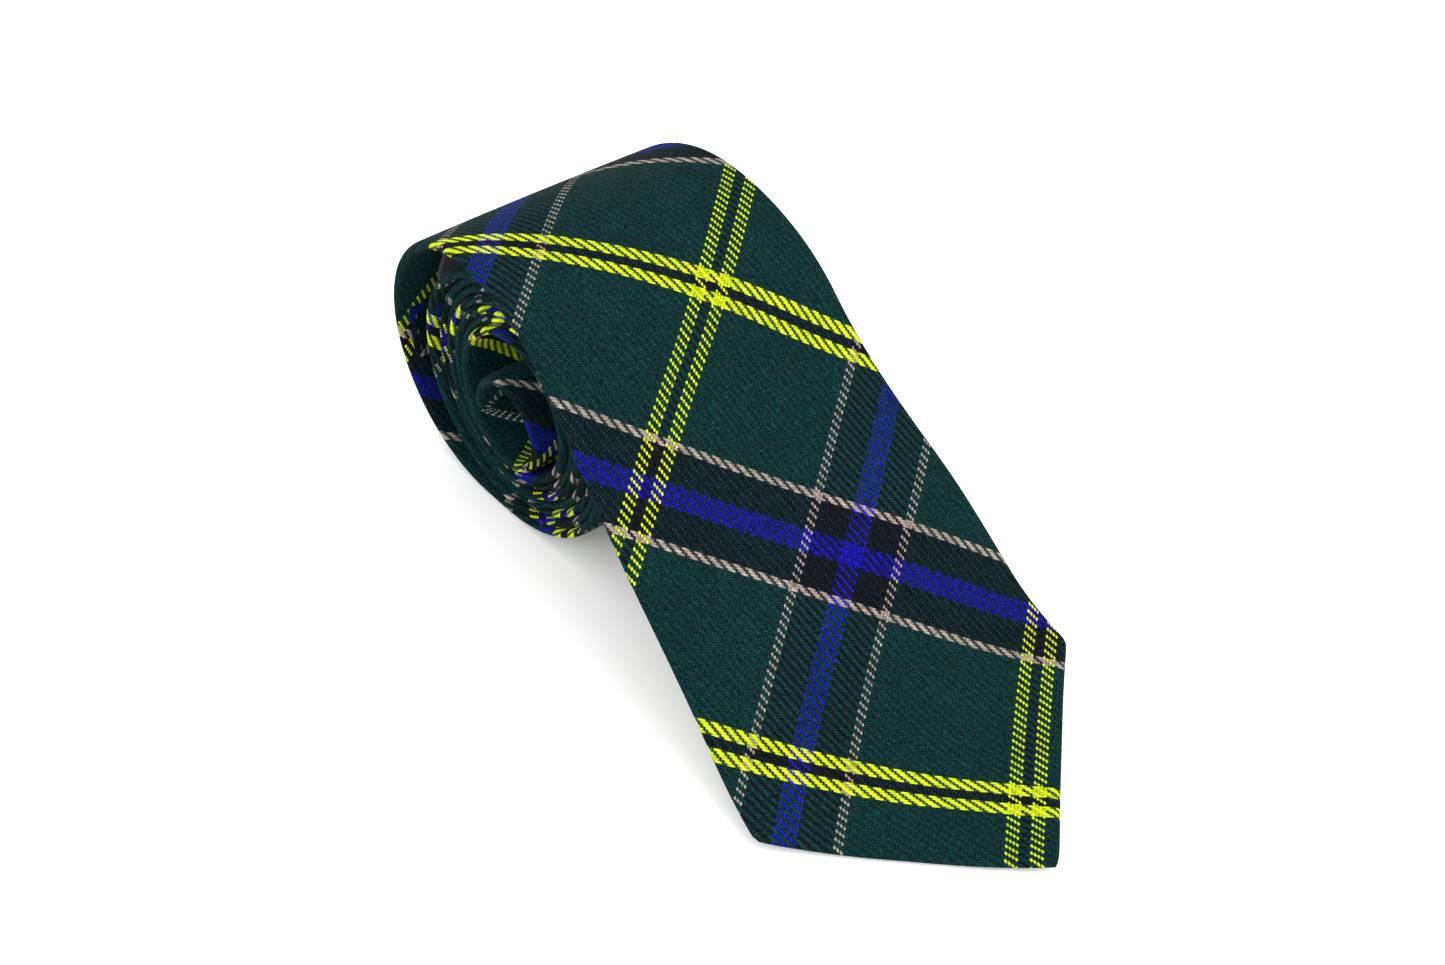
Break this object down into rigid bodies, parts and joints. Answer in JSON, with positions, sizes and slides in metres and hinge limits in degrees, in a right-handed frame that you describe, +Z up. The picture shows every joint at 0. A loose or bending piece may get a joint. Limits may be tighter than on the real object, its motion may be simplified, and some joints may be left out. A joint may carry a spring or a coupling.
{
  "type": "necktie",
  "caption": "Wool tartan necktie, bias cut and folded over an interlining, rolled up with its wide blade lying out of the roll.",
  "frame": {"origin": "centre of the footprint, on the surface that the tie rests on", "axes": "+Z up; X along the axis of the roll; -Y the way the blade's tip points"},
  "size_m": [0.09, 0.1844, 0.068],
  "materials": {
    "shell_cloth": "brushed wool twill in a tartan of green, navy, blue, yellow and grey",
    "interlining": "napped off-white wool-blend interlining",
    "tipping": "plain dark lining, slight sheen",
    "thread": "dark green spun sewing thread",
    "label": "blank woven label, fine satin ground"
  },
  "bodies": {
    "root": {"blade_shell": "shell_cloth", "neck_gusset": "shell_cloth", "tail_shell": "shell_cloth", "keeper_loop": "shell_cloth", "interlining": "interlining", "blade_tipping": "tipping", "tail_tipping": "tipping", "slip_stitch_thread": "thread", "blade_bar_tack": "thread", "tail_bar_tack": "thread", "blade_piecing_seam": "thread", "tail_piecing_seam": "thread", "keeper_stitches": "thread", "maker_label_stitches": "thread", "blade_tipping_stitches": "thread", "tail_tipping_stitches": "thread", "maker_label": "label", "care_label": "label"}
  },
  "joints": []
}
